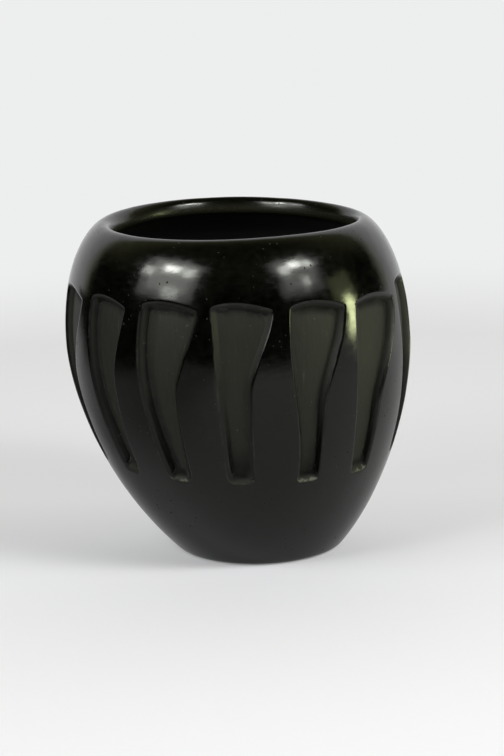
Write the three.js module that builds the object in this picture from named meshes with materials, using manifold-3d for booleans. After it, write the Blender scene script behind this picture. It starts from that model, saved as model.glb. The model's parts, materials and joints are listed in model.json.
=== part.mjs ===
// A carved blackware jar of coil-built earthenware, as the pieces of clay it is laid up from:
// a pressed base, wall coils and a rim coil, with a ring of feather panels carved into the wall.
// Millimetres, +Z up. The origin is the centre of the flat foot, and the front of the jar faces -Y.

import * as THREE from 'three';
import { mergeVertices } from 'three/addons/utils/BufferGeometryUtils.js';
import Module from 'manifold-3d';

// Outer form. A reach is how far a curve holds its first direction before it turns.
const HEIGHT = 140;
const FOOT_RADIUS = 34.3;
const FOOT_SLOPE_DEGREES = 46.5;
const FOOT_REACH = 38.8;
const FOOT_EDGE = 2.5;
const BELLY_RADIUS = 71.9;
const BELLY_HEIGHT = 89;
const BELLY_REACH = 20;
const SHOULDER_REACH = 37.6;
const LIP_RADIUS = 53.7;
const LIP_REACH = 4.6;

// Inside of the jar
const WALL = 7;
const BASE_THICKNESS = 9;
const FLOOR_REACH = 22;
const BOWL_REACH = 12;
const LIP_ROUND = 3;
const THROAT_REACH = 5;
const VAULT_REACH = 5;

// Hand-built sway: the body leans to -X as it rises, and the rim is neither level nor quite flat
const LEAN = 7.7;
const RIM_TILT = 1.5;
const RIM_HIGH_DEGREES = 257;
const RIM_SADDLE = 0.5;
const SADDLE_DEGREES = 115;
const SWAY_START = 56;

// Coil courses, measured along the wall from the edge of the foot.
// Each joint is a lap, with its outer edge higher than its inner one.
const BASE_COURSE = 32;
const RIM_COURSE = 18;
const COIL_COUNT = 7;
const JOINT_LAP = 3.4;
const JOINT_GAP = 0.3;

// Feather panels, drawn on the wall: across it to either side of the quill line, and along it from the foot
const PANEL_COUNT = 14;
const PANEL_BEARING_DEGREES = 268;
const PANEL_TAIL = 50.5;
const PANEL_LENGTH = 76.4;
const HEAD_LEFT = 6.5;
const HEAD_RIGHT = 17.8;
const HEAD_ARCH = 3.2;
const HEAD_SWEEP = 17;
const TAIL_WIDTH = 10.5;
const TAIL_ROUND = 3;
const TAIL_SWEEP = 50;
const LEFT_BOW = 1.6;
const CARVE_DEPTH = 2.8;
const CARVE_SLOPE = 2.3;
const CUT_CLEARANCE = 1;

// Facets
const TURN_STEPS = 42;
const BASE_STEPS = 4;
const COIL_STEPS = 2;
const RIM_STEPS = 4;
const CURVE_STEPS = 4;
const EDGE_STEPS = 2;
const LIP_STEPS = 3;
const PANEL_STEPS_ACROSS = 4;
const PANEL_STEPS_ALONG = 8;

const wasm = await Module();
wasm.setup();

const blackware = { color: 0x1a1918, roughness: 0.24, metalness: 0 };

const at = (x, y) => new THREE.Vector2(x, y);
const { degToRad, lerp, smoothstep } = THREE.MathUtils;

// The outer wall, from the edge of the foot to the crest of the lip
function wallPath() {
  const slope = degToRad(FOOT_SLOPE_DEGREES);
  const flare = at(FOOT_RADIUS + FOOT_REACH * Math.cos(slope), FOOT_REACH * Math.sin(slope));
  const belly = at(BELLY_RADIUS, BELLY_HEIGHT);
  const under = at(BELLY_RADIUS, BELLY_HEIGHT - BELLY_REACH);
  const over = at(BELLY_RADIUS, BELLY_HEIGHT + SHOULDER_REACH);
  const crest = at(LIP_RADIUS, HEIGHT);
  const path = new THREE.CurvePath();
  path.add(new THREE.CubicBezierCurve(at(FOOT_RADIUS, 0), flare, under, belly));
  path.add(new THREE.CubicBezierCurve(belly, over, at(LIP_RADIUS + LIP_REACH, HEIGHT), crest));
  return path;
}

const wall = wallPath();
const wallLength = wall.getLength();

// The point a distance up the wall, moved off the surface by an offset that is positive outwards
function onWall(distance, offset) {
  const surface = wall.getPoint(distance / wallLength);
  const along = wall.getTangent(distance / wallLength);
  return at(surface.x + along.y * offset, surface.y - along.x * offset);
}

// Points along the wall between two distances, at one offset
function wallPoints(from, to, offset, steps) {
  const points = [];
  for (let step = 0; step <= steps; step += 1) {
    points.push(onWall(lerp(from, to, step / steps), offset));
  }
  return points;
}

// The two ends of a coil joint, as distances up the wall, moved along it by a shift
function joint(distance, shift) {
  return { outer: distance + JOINT_LAP / 2 + shift, inner: distance - JOINT_LAP / 2 + shift };
}

// The pressed base: flat foot, rounded foot edge, flaring wall and a bowl-shaped floor
function baseSection(top) {
  const edge = new THREE.QuadraticBezierCurve(
    at(FOOT_RADIUS - FOOT_EDGE, 0),
    at(FOOT_RADIUS, 0),
    onWall(FOOT_EDGE, 0),
  );
  const inside = onWall(top.inner, -WALL);
  const downhill = wall.getTangent(top.inner / wallLength).multiplyScalar(-BOWL_REACH);
  const bowl = new THREE.CubicBezierCurve(
    inside,
    inside.clone().add(downhill),
    at(FLOOR_REACH, BASE_THICKNESS),
    at(0, BASE_THICKNESS),
  );
  return [
    at(0, 0),
    ...edge.getPoints(EDGE_STEPS),
    ...wallPoints(FOOT_EDGE, top.outer, 0, BASE_STEPS).slice(1),
    ...bowl.getPoints(CURVE_STEPS),
  ];
}

// One flattened coil between two joints
function coilSection(bottom, top) {
  return [
    ...wallPoints(bottom.outer, top.outer, 0, COIL_STEPS),
    ...wallPoints(top.inner, bottom.inner, -WALL, COIL_STEPS),
    onWall(bottom.outer, 0),
  ];
}

// The last coil, turned in and rounded over into the lip
function rimSection(bottom) {
  const throat = at(LIP_RADIUS - LIP_ROUND, HEIGHT - LIP_ROUND);
  const lip = new THREE.EllipseCurve(LIP_RADIUS, throat.y, LIP_ROUND, LIP_ROUND, Math.PI / 2, Math.PI);
  const inside = onWall(bottom.inner, -WALL);
  const uphill = wall.getTangent(bottom.inner / wallLength).multiplyScalar(VAULT_REACH);
  const vault = new THREE.CubicBezierCurve(
    throat,
    at(throat.x, throat.y - THROAT_REACH),
    inside.clone().add(uphill),
    inside,
  );
  return [
    ...wallPoints(bottom.outer, wallLength, 0, RIM_STEPS),
    ...lip.getPoints(LIP_STEPS).slice(1),
    ...vault.getPoints(CURVE_STEPS).slice(1),
    onWall(bottom.outer, 0),
  ];
}

// A closed solid from a geometry whose faces point outwards
function solidFrom(geometry) {
  geometry.deleteAttribute('normal');
  geometry.deleteAttribute('uv');
  const merged = mergeVertices(geometry);
  const corners = merged.index.array;
  const kept = [];
  for (let i = 0; i < corners.length; i += 3) {
    const [a, b, c] = corners.slice(i, i + 3);
    if (a !== b && b !== c && c !== a) {
      kept.push(a, b, c);
    }
  }
  const vertProperties = new Float32Array(merged.attributes.position.array);
  return new wasm.Manifold(new wasm.Mesh({ numProp: 3, vertProperties, triVerts: new Uint32Array(kept) }));
}

// A section turned about the jar's axis
function turned(points) {
  const lathe = new THREE.LatheGeometry(points, TURN_STEPS);
  lathe.rotateX(Math.PI / 2);
  return solidFrom(lathe);
}

// The edges of one panel, drawn in by an inset: across and along the wall, from the tail up to the head
function panelEdges(inset) {
  const tailHalf = TAIL_WIDTH / 2 - inset;
  const left = -HEAD_LEFT + inset;
  const right = HEAD_RIGHT - inset;
  const tail = PANEL_TAIL + TAIL_ROUND + inset;
  const head = PANEL_TAIL + PANEL_LENGTH - HEAD_ARCH - inset;
  const bowed = at((left - tailHalf) / 2 - 2 * LEFT_BOW, (head + tail) / 2);
  return {
    left: new THREE.QuadraticBezierCurve(at(-tailHalf, tail), bowed, at(left, head)),
    right: new THREE.CubicBezierCurve(
      at(tailHalf, tail),
      at(tailHalf, tail + TAIL_SWEEP),
      at(right, head - HEAD_SWEEP),
      at(right, head),
    ),
  };
}

// A point of a panel: u runs from its left edge to its right, and v from its tail to its head
function panelPoint(edges, u, v) {
  const point = edges.left.getPoint(v).lerp(edges.right.getPoint(v), u);
  const bulge = 4 * u * (1 - u);
  point.y += bulge * (HEAD_ARCH * v * v - TAIL_ROUND * (1 - v) * (1 - v));
  return point;
}

// The clay that is carved out of the wall for one panel: a block bent onto the wall, narrower at its floor
function panelCutter(index) {
  const bearing = degToRad(PANEL_BEARING_DEGREES + (360 / PANEL_COUNT) * index);
  const floorEdges = panelEdges(CARVE_SLOPE);
  const openEdges = panelEdges(-CARVE_SLOPE * CUT_CLEARANCE / CARVE_DEPTH);
  const block = new THREE.BoxGeometry(1, 1, 1, PANEL_STEPS_ACROSS, PANEL_STEPS_ALONG, 1);
  block.translate(0.5, 0.5, 0.5);
  const corners = block.attributes.position;
  for (let i = 0; i < corners.count; i += 1) {
    const onFloor = corners.getZ(i) < 0.5;
    const drawn = panelPoint(onFloor ? floorEdges : openEdges, corners.getX(i), corners.getY(i));
    const turn = bearing + drawn.x / onWall(drawn.y, 0).x;
    const carved = onWall(drawn.y, onFloor ? -CARVE_DEPTH : CUT_CLEARANCE);
    corners.setXYZ(i, carved.x * Math.cos(turn), carved.x * Math.sin(turn), carved.y);
  }
  return solidFrom(block);
}

// The section of every course, by the name of its piece
function courseSections() {
  const coilStep = (wallLength - BASE_COURSE - RIM_COURSE) / COIL_COUNT;
  const below = (course) => joint(BASE_COURSE + coilStep * course, -JOINT_GAP / 2);
  const above = (course) => joint(BASE_COURSE + coilStep * course, JOINT_GAP / 2);
  const sections = { puki_base: baseSection(below(0)) };
  for (let coil = 1; coil <= COIL_COUNT; coil += 1) {
    sections[`coil_${coil}`] = coilSection(above(coil - 1), below(coil));
  }
  sections.rim_coil = rimSection(above(COIL_COUNT));
  return sections;
}

// Where a point of the true, upright form lies on the jar as it was built by hand
function settled(x, y, z) {
  const share = z / HEIGHT;
  const bearing = Math.atan2(y, x);
  const tilt = RIM_TILT * Math.cos(bearing - degToRad(RIM_HIGH_DEGREES));
  const saddle = RIM_SADDLE * Math.cos(2 * (bearing - degToRad(SADDLE_DEGREES)));
  const lift = smoothstep(z, SWAY_START, HEIGHT) * (tilt + saddle);
  return [x - LEAN * share * (2 - share), y, z + lift];
}

// One named piece of clay
function clayPiece(name, solid) {
  const { vertProperties, triVerts } = solid.getMesh();
  const positions = [];
  for (let i = 0; i < vertProperties.length; i += 3) {
    positions.push(...settled(...vertProperties.slice(i, i + 3)));
  }
  const geometry = new THREE.BufferGeometry();
  geometry.setAttribute('position', new THREE.Float32BufferAttribute(positions, 3));
  geometry.setIndex(Array.from(triVerts));
  geometry.computeVertexNormals();
  const piece = new THREE.Mesh(geometry, new THREE.MeshStandardMaterial(blackware));
  piece.name = name;
  return piece;
}

const jar = new THREE.Group();
const panels = Array.from({ length: PANEL_COUNT }, (_, index) => panelCutter(index));
for (const [name, section] of Object.entries(courseSections())) {
  const carved = panels.reduce((clay, panel) => clay.subtract(panel), turned(section));
  jar.add(clayPiece(name, carved));
}

export default jar;
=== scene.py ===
"""The looks of a carved blackware jar, modelled around the packed CAD frame and laid out as an add-on.

The jar is raised as one wall, carved, burnished and settled, and then parted along the coil joints
into the same nine pieces of clay that the CAD has. Everything is in metres, with +Z up and -Y to the front.
"""

import json
import math
from functools import partial

import bpy
import numpy as np
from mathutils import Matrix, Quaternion, Vector

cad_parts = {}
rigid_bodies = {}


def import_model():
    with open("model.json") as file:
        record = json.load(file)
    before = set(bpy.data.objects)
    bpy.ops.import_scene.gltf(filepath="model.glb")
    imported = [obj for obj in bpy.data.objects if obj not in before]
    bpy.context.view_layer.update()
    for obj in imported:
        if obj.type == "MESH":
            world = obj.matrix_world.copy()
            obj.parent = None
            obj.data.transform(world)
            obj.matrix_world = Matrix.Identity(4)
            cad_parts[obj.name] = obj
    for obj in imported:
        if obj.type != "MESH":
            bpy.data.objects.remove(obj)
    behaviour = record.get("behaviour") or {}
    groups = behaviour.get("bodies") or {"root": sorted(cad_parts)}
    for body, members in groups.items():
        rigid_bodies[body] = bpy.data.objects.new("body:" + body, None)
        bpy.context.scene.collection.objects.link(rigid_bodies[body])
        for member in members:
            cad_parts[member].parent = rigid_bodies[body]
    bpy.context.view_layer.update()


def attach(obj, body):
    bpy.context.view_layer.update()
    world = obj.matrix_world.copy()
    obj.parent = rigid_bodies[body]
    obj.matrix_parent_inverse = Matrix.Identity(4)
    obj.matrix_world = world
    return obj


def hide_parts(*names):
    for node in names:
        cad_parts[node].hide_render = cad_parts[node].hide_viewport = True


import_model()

bl_info = {
    "name": "Carved blackware jar",
    "version": (1, 0, 0),
    "blender": (4, 5, 0),
    "location": "3D View > Sidebar > Jar",
    "description": "Models a coil-built, burnished and carved black earthenware jar on its CAD frame",
    "category": "Object",
}

MM = 0.001
FULL_TURN = 2 * math.pi
BODY = "jar_body"
BASE = "puki_base"
COILS = ("coil_1", "coil_2", "coil_3", "coil_4", "coil_5", "coil_6", "coil_7")
RIM = "rim_coil"

# Mesh lines that run beside a panel's outline: their distance outside it, or their share of the carved wall
EDGE_OUT = MM * np.array([-1.5, -0.9, -0.5, -0.1, 0, 0, 0, 0, 0, 0, 0, 0, 0, 0, 0])
EDGE_IN = np.array([0, 0, 0, 0, 0.17, 0.38, 0.56, 0.71, 0.83, 0.92, 0.97, 1.01, 1.07, 1.2, 1.45])
EDGE_LINES = len(EDGE_IN)
FLOOR_COLUMNS = 7
RIB_COLUMNS = 6
BAND_ROWS = 34
BAND_ROUNDS = 4
LOWER_ROWS = 24
SHOULDER_ROWS = 26
FOOT_ROWS = 5
LIP_ROWS = 9
VAULT_ROWS = 10
INSIDE_ROWS = 34
BOWL_ROWS = 14
CURVE_STEPS = 600
EDGE_STEPS = 60
UNDERSIDE_RADII = MM * np.array([8.0, 18.0, 26.0])
BOWL_HOLE = 8 * MM

# How each panel was drawn by hand, from the front one round to the right, in millimetres from its quill:
# left and right of the tail, left and right of the head, bow of the left edge low down and high up,
# where the right edge bends away up the wall, lift of the tail, lift of the head, and width of the carved
# wall at the left and at the right of the tail. The last four are how worn the tail is, how deep the groove
# is and how much shade is painted along the left wall and along the right wall, and how much shade is
# painted in the tail
HAND = (
    (-6.5, 5.1, -7.6, 17.8, 0.2, -1.4, 91, 0.2, 0.9, 2.5, 2.4, 0.4, 0.3, 1.0, 0.8),
    (-6.0, 4.4, -6.4, 18.6, -3.0, 4.4, 82, -1.0, -0.5, 1.5, 0.9, 0.85, 0.4, 1.35, 0.8),
    (-7.3, 3.3, -6.4, 20.8, 2.6, 5.0, 77, -1.7, -2.4, 1.4, 0.9, 0.7, 0.4, 1.35, 0.0),
    (-3.3, 6.0, -5.2, 18.6, 0.7, 4.4, 86, 0.3, 0.3, 1.6, 1.0, 0.4, 0.5, 1.4, 0.3),
    (-5.4, 4.2, -6.9, 18.0, 1.0, 2.2, 88, -0.4, -0.6, 2.0, 1.2, 0.3, 0.7, 1.2, 0.6),
    (-3.9, 5.5, -6.2, 18.4, 2.0, 3.6, 85, 0.5, 0.8, 2.6, 2.0, 0.6, 1.2, 0.8, 0.1),
    (-5.6, 4.5, -7.0, 18.2, 0.2, 1.6, 90, -0.6, 1.2, 2.4, 1.6, 0.3, 0.8, 1.0, 0.5),
    (-4.4, 4.9, -6.0, 18.8, 1.6, 3.0, 84, 0.2, -0.3, 1.8, 0.9, 0.8, 1.4, 0.9, 0.2),
    (-5.9, 3.9, -6.6, 18.1, 0.9, 2.4, 89, 0.8, 0.4, 2.2, 1.4, 0.2, 1.0, 1.3, 0.7),
    (-4.1, 5.0, -7.2, 17.6, 0.1, 0.9, 92, -0.9, -0.8, 2.7, 2.2, 0.5, 0.7, 0.8, 0.3),
    (-3.2, 6.6, -6.3, 18.7, 1.8, 3.4, 86, 0.4, 0.6, 2.3, 1.8, 0.3, 1.3, 0.9, 0.5),
    (-1.2, 9.4, -6.2, 19.2, 1.4, 2.6, 89, 0.6, 0.5, 2.5, 2.0, 0.4, 1.5, 0.6, 0.2),
    (-1.4, 8.5, -4.6, 17.1, 1.2, 1.8, 93, 1.2, 1.4, 2.2, 1.8, 0.2, 1.9, 0.5, 0.3),
    (-4.4, 6.6, -6.2, 19.0, 2.6, 4.2, 90, 0.5, 1.4, 2.8, 2.2, 0.9, 1.8, 0.6, 0.0),
)

# What the wall is like outside the panels. slant is the share of the way down a carved wall, below 0 outside
# the outline. upper says how far up a panel a point is, gentle how gently the wall slopes, groove how deep
# the knife's first cut goes, shade how much shade is painted at the wall's foot, reach how far inside the
# matt slip a point is, and wear how worn it is
PLAIN_WALL = {
    "slant": -3.0, "upper": 1.0, "gentle": 1.0, "groove": 0.0, "shade": 0.0, "reach": -3.0, "wear": 0.0
}

# How roundly two carved walls run together, and how soon one gives way to the next, in widths of the wall
SIDE_CORNER = 0.2
TAIL_CORNER = 1.3
HEAD_CORNER = 0.5
WALL_CHANGE = (-0.2, 0.4)
HEAD_CHANGE = (-0.2, 0.6)

# Where marks lie, in widths of the wall: the two sides of the groove, the painted dark border, the painted
# shade in a tail, the worn end of a tail, and the slip's edge on a steep wall, on a gentle one and on a tail
GROOVE_OUTER = (0.55, 0.9)
GROOVE_INNER = (1.25, 1.0)
BORDER_OUTER = (0.3, 0.85)
TAIL_SHADE = (8, 1.5)
WORN_END = (0.75, 0.05)
SLIP_EDGES = (1.0, 0.3, -0.1)

# How a carved wall falls: how square a steep one is, how soft a gentle one is, and how shallow the tails are
STEEP_POWER = 2.6
GENTLE_POWER = 1.7
GENTLE_SHARE = 0.6
STEEP_HEIGHTS = (6 * MM, 48 * MM)
EASED_WIDTHS = (1.2 * MM, 2.2 * MM)
TAIL_DEPTH = 0.95
TAIL_LENGTH = 30 * MM
LEAST_CUT = 0.005 * MM

# Bearings of the rim's high side and of one of its two crowns
TILT_BEARING = math.radians(257)
CROWN_BEARING = math.radians(115)

# Where the hand's waver sets in, up from the foot and out from the axis, and the size of swells and facets
WAVER_HEIGHTS = (4 * MM, 30 * MM)
WAVER_RADII = (30 * MM, 40 * MM)
SWELL = 45 * MM
FACET = 9 * MM

# Heights between which the bowl of the jar, which the stone rubbed only once, comes out of the throat's
# painted shade
BOWL_HEIGHTS = (116 * MM, 96 * MM)

# Roughness of the strokes on the burnish, and of each finish and each patch of painted shade that lies over
# them
STROKE_ROUGHNESS = (0.10, 0.19)
ROUGHNESS = {
    "carved": 0.36, "inside": 0.3, "throat_shade": 0.7, "pit": 0.75, "slip": 0.62, "soot": 0.95, "wear_and_highlight": 0.6
}
BLACKWARE_IOR = 1.42
BLACKWARE_TINT = (0.975, 1, 0.93, 1)

# Size in millimetres, detail and roughness of the noises in the blackware: the slip's ragged edge,
# patches in the painted shade and along the edges, chips, mottled smoke, drifts of pits, and grain
NOISES = ((2.5, 2, 0.5), (7, 3, 0.5), (1.6, 4, 0.5), (9, 4, 0.65), (22, 1, 0.5), (0.9, 2, 0.5))

# Settings that many nodes share
SMOOTH_STEP = {"interpolation_type": "SMOOTHSTEP"}
COLOURS = {"out": 2, "data_type": "RGBA"}
WHITE = (1, 1, 1)

# Lamps: radiance as a share of one in the studio's settings, azimuth and elevation as seen from the jar,
# distance in metres, width and height in degrees, and the kind of ray that doesn't see the lamp
LAMP_CENTRE = Vector((0, 0, 90 * MM))
LAMPS = (
    ("left_softbox", 0.6, "softbox", -52, 33, 1.3, 40, 34, None),
    ("left_softbox_middle", 0.8, "softbox", -51, 34, 1.3, 30, 26, None),
    ("left_tube_1", 1.85, "core", -53, 40, 1.2, 10, 6, "visible_diffuse"),
    ("left_tube_2", 0.5, "core", -71, 34, 1.2, 8, 7, None),
    ("left_tube_3", 0.6, "core", -38, 38, 1.2, 8, 7, None),
    ("left_tube_4", 0.4, "core", -47, 21, 1.2, 10, 6, None),
    ("right_softbox", 0.4, "softbox", 50, 33, 1.3, 32, 31, None),
    ("right_softbox_middle", 0.45, "softbox", 50, 34, 1.3, 25, 24, None),
    ("right_tube_1", 1.75, "core", 51, 40, 1.2, 9, 6, None),
    ("right_tube_2", 0.7, "core", 40, 37, 1.2, 8, 7, None),
    ("right_tube_3", 0.7, "core", 63, 38, 1.2, 7, 6, None),
    ("right_tube_4", 0.35, "core", 53, 25, 1.2, 6, 7, None),
    ("right_fill", 0.55, "core", 49, 40, 1.2, 14, 14, "visible_glossy"),
    ("left_fill", 0.25, "core", -42, 45, 1.2, 10, 10, "visible_glossy"),
    ("window_strip", 1, "strip", 82, 1, 1.6, 6.5, 15, None),
    ("window_haze", 0.035, "strip", 79, 15, 1.7, 18, 13, None),
)
FLOOR_SIZE = 16

# The camera that fits the jar's outline in the photograph, with angles in degrees
IMAGE_SIZE = (504, 756)
CAMERA_PIVOT = Vector((0, 0, 70 * MM))
CAMERA_AIM = Vector((-1.57 * MM, 0, 71.39 * MM))
CAMERA_ELEVATION = 14.149
CAMERA_DISTANCE = 1.2602
CAMERA_ROLL = -1.797
FOCAL_PIXELS = 3000
SENSOR_WIDTH = 36


def linear(code):
    """The linear colour of an sRGB hex value."""
    shares = [int(code[i:i + 2], 16) / 255 for i in (1, 3, 5)]
    return [s / 12.92 if s <= 0.04045 else ((s + 0.055) / 1.055) ** 2.4 for s in shares]


def smooth(values, low, high):
    """A smooth step from 0 at low to 1 at high."""
    share = np.clip((values - low) / (high - low), 0, 1)
    return share * share * (3 - 2 * share)


def mixed(a, b, share):
    """The value a share of the way from a to b."""
    return a + (b - a) * share


def soft_min(a, b, corner):
    """The lesser of two distances, with the corner where they meet rounded off."""
    near = np.clip(corner - np.abs(a - b), 0, None) / corner
    return np.minimum(a, b) - near * near * corner / 4


def bezier(points, steps):
    """Points along a Bezier curve of any degree."""
    share = np.linspace(0, 1, steps + 1)[:, None]
    rows = [np.array(p, float) for p in points]
    while len(rows) > 1:
        rows = [mixed(a, b, share) for a, b in zip(rows, rows[1:])]
    return rows[0]


def between(count):
    """Even shares between 0 and 1, without the two ends."""
    return np.linspace(0, 1, count + 2)[1:-1]


def number(name, description, default, **kind):
    """A number that shows in the sidebar, such as an angle, a share or a radiance."""
    return bpy.props.FloatProperty(name=name, description=description, default=default, **kind)


def length(name, description, default):
    """A size that is given here in millimetres and shows in the sidebar in the user's unit."""
    return number(name, description, default * MM, min=0, unit="LENGTH", precision=4)


def tint(name, description, code):
    """A colour that shows in the sidebar."""
    return bpy.props.FloatVectorProperty(
        name=name, description=description, default=linear(code), subtype="COLOR", min=0, max=1
    )


class JarForm(bpy.types.PropertyGroup):
    """Sizes of the jar's form."""

    height: length("Height", "Height of the lip's crest above the foot", 140)
    foot_radius: length("Foot radius", "Where the wall leaves the foot", 34.3)
    foot_slope: number("Foot slope", "Angle of the wall at the foot", math.radians(46.5), subtype="ANGLE")
    foot_reach: length("Foot reach", "How far the wall holds the foot's slope", 38.8)
    foot_edge: length("Foot edge", "Rounding of the foot's edge", 2.5)
    belly_radius: length("Belly radius", "Widest radius of the wall", 71.9)
    belly_height: length("Belly height", "Height of the widest ring", 89)
    belly_reach: length("Belly reach", "How far the wall stays upright below the belly", 20)
    shoulder_reach: length("Shoulder reach", "How far the wall stays upright above the belly", 37.6)
    lip_radius: length("Lip radius", "Radius of the lip's crest", 53.7)
    lip_reach: length("Lip reach", "How far the lip's crest runs level", 4.6)
    lip_round: length("Lip round", "How far the lip rounds over into the mouth", 3)
    lip_drop: length("Lip drop", "How far down the lip's rounding runs in the mouth", 6)
    lip_spread: length("Lip spread", "How much broader the lip is at the left", 1.9)
    wall: length("Wall", "Thickness of the wall", 7)
    base_thickness: length("Base thickness", "Thickness of the clay over the foot", 9)
    floor_reach: length("Floor reach", "How far the inside floor runs level", 22)
    bowl_reach: length("Bowl reach", "How far the inside wall runs on into the bowl", 12)
    throat_reach: length("Throat reach", "How far the throat runs down from the lip", 1.5)
    vault_reach: length("Vault reach", "How far the inside wall runs up to the throat", 5)
    lean: length("Lean", "How far the lip stands off to the left of the foot", 7.7)
    rim_tilt: length("Rim tilt", "Rise of the rim's high side", 1.5)
    rim_saddle: length("Rim saddle", "Rise of the rim's two crowns", 0.5)
    sway_start: length("Sway start", "Height at which the rim's tilt sets in", 56)
    base_course: length("Base course", "How far up the wall the pressed base reaches", 32)
    rim_course: length("Rim course", "How far down the wall the rim coil reaches", 18)
    joint_lap: length("Joint lap", "Slant of a coil joint through the wall", 3.4)
    waver: length("Waver", "Hand-built waver of the wall, from crest to trough", 0.5)
    facet: length("Facet", "Depth of the dimples that the burnishing stone leaves", 0.13)


class JarCarving(bpy.types.PropertyGroup):
    """Sizes of the ring of carved feather panels."""

    count: bpy.props.IntProperty(name="Panels", description="Number of feather panels", default=14, min=3)
    bearing: number("Bearing", "Angle of the front panel", math.radians(268), subtype="ANGLE")
    tail: length("Tail", "Distance up the wall to the panels' tails", 50.5)
    length: length("Length", "Length of a panel along the wall", 75.7)
    head_arch: length("Head arch", "Rise of the head's arch", 2.6)
    head_tilt: length("Head tilt", "How much higher the head is at its left than at its right", 1.6)
    tail_round: length("Tail round", "Rounding of the tail", 1.6)
    lean: number("Lean", "Lean of the right edge below its bend", 0.05)
    depth: length("Depth", "Depth of the carved floor", 2.8)
    right_slope: length("Right slope", "Width of the carved wall at the right of a head", 1.8)
    brow: length("Brow", "Width of the carved wall over a head", 2.5)
    ramp: length("Ramp", "Length of the ramp that rises out of a tail", 2.7)
    groove: length("Groove", "How far the knife's first cut goes below the floor", 0.6)
    edge_round: number("Edge round", "Share of a carved wall that rounds over outside the outline", 0.25)


class JarFinish(bpy.types.PropertyGroup):
    """Colours and grain of the two finishes."""

    burnish: tint("Burnish", "Smudged black of the burnished slip", "#010101")
    smoke: tint("Smoke", "Warmer black of the thinner smudge", "#070705")
    slip: tint("Slip", "Matt slip on the carved floors", "#181810")
    thin: tint("Thin slip", "Matt slip where it lies thin on the carved walls and tails", "#0d0d09")
    # The inside colour also paints the light on the band inside the lip
    inside: tint("Inside", "Slip inside the lip, which the stone rubbed only once", "#202017")
    wear_and_highlight: tint("Worn clay", "Clay showing through where the carving is chipped or rubbed", "#5c5c52")
    pit: length("Pit", "Diameter of a pit left by a temper grain", 0.9)
    streak: length("Streak", "Width of a stroke of the burnishing stone", 1.6)


class JarStudio(bpy.types.PropertyGroup):
    """The floor, the backdrop and the lamps."""

    paper: tint("Paper", "Colour of the floor", "#e8e8ec")
    backdrop: tint("Backdrop", "Colour of the backdrop", "#edeeee")
    ceiling: tint("Ceiling", "Colour of the dim ceiling", "#f0f2b8")
    window: tint("Window", "Colour of the narrow light at the right", "#f8ffc6")
    softbox: number("Softbox", "Radiance of the two softboxes", 2.95, min=0)
    core: number("Core", "Added radiance of the tubes in the softboxes", 20.5, min=0)
    strip: number("Strip", "Radiance of the narrow light", 27, min=0)


class Wall:
    """The outer wall in section, from the edge of the foot to the crest of the lip, by distance along it."""

    def __init__(self, form):
        flare = (
            form.foot_radius + form.foot_reach * math.cos(form.foot_slope),
            form.foot_reach * math.sin(form.foot_slope),
        )
        belly = (form.belly_radius, form.belly_height)
        under = (form.belly_radius, form.belly_height - form.belly_reach)
        over = (form.belly_radius, form.belly_height + form.shoulder_reach)
        turn = (form.lip_radius + form.lip_reach, form.height)
        lower = bezier([(form.foot_radius, 0), flare, under, belly], CURVE_STEPS)
        upper = bezier([belly, over, turn, (form.lip_radius, form.height)], CURVE_STEPS)
        self.points = np.vstack([lower, upper[1:]])
        steps = np.diff(self.points, axis=0)
        spans = np.hypot(steps[:, 0], steps[:, 1])
        self.distances = np.concatenate([[0], np.cumsum(spans)])
        self.length = self.distances[-1]
        self.tangents = np.gradient(self.points, self.distances, axis=0)

    def at(self, distance, offset=0.0):
        """Radius and height at a distance up the wall, moved outwards by an offset."""
        radius, height, run, rise = (
            np.interp(distance, self.distances, values) for values in (*self.points.T, *self.tangents.T)
        )
        return radius + rise * offset, height - run * offset


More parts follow.
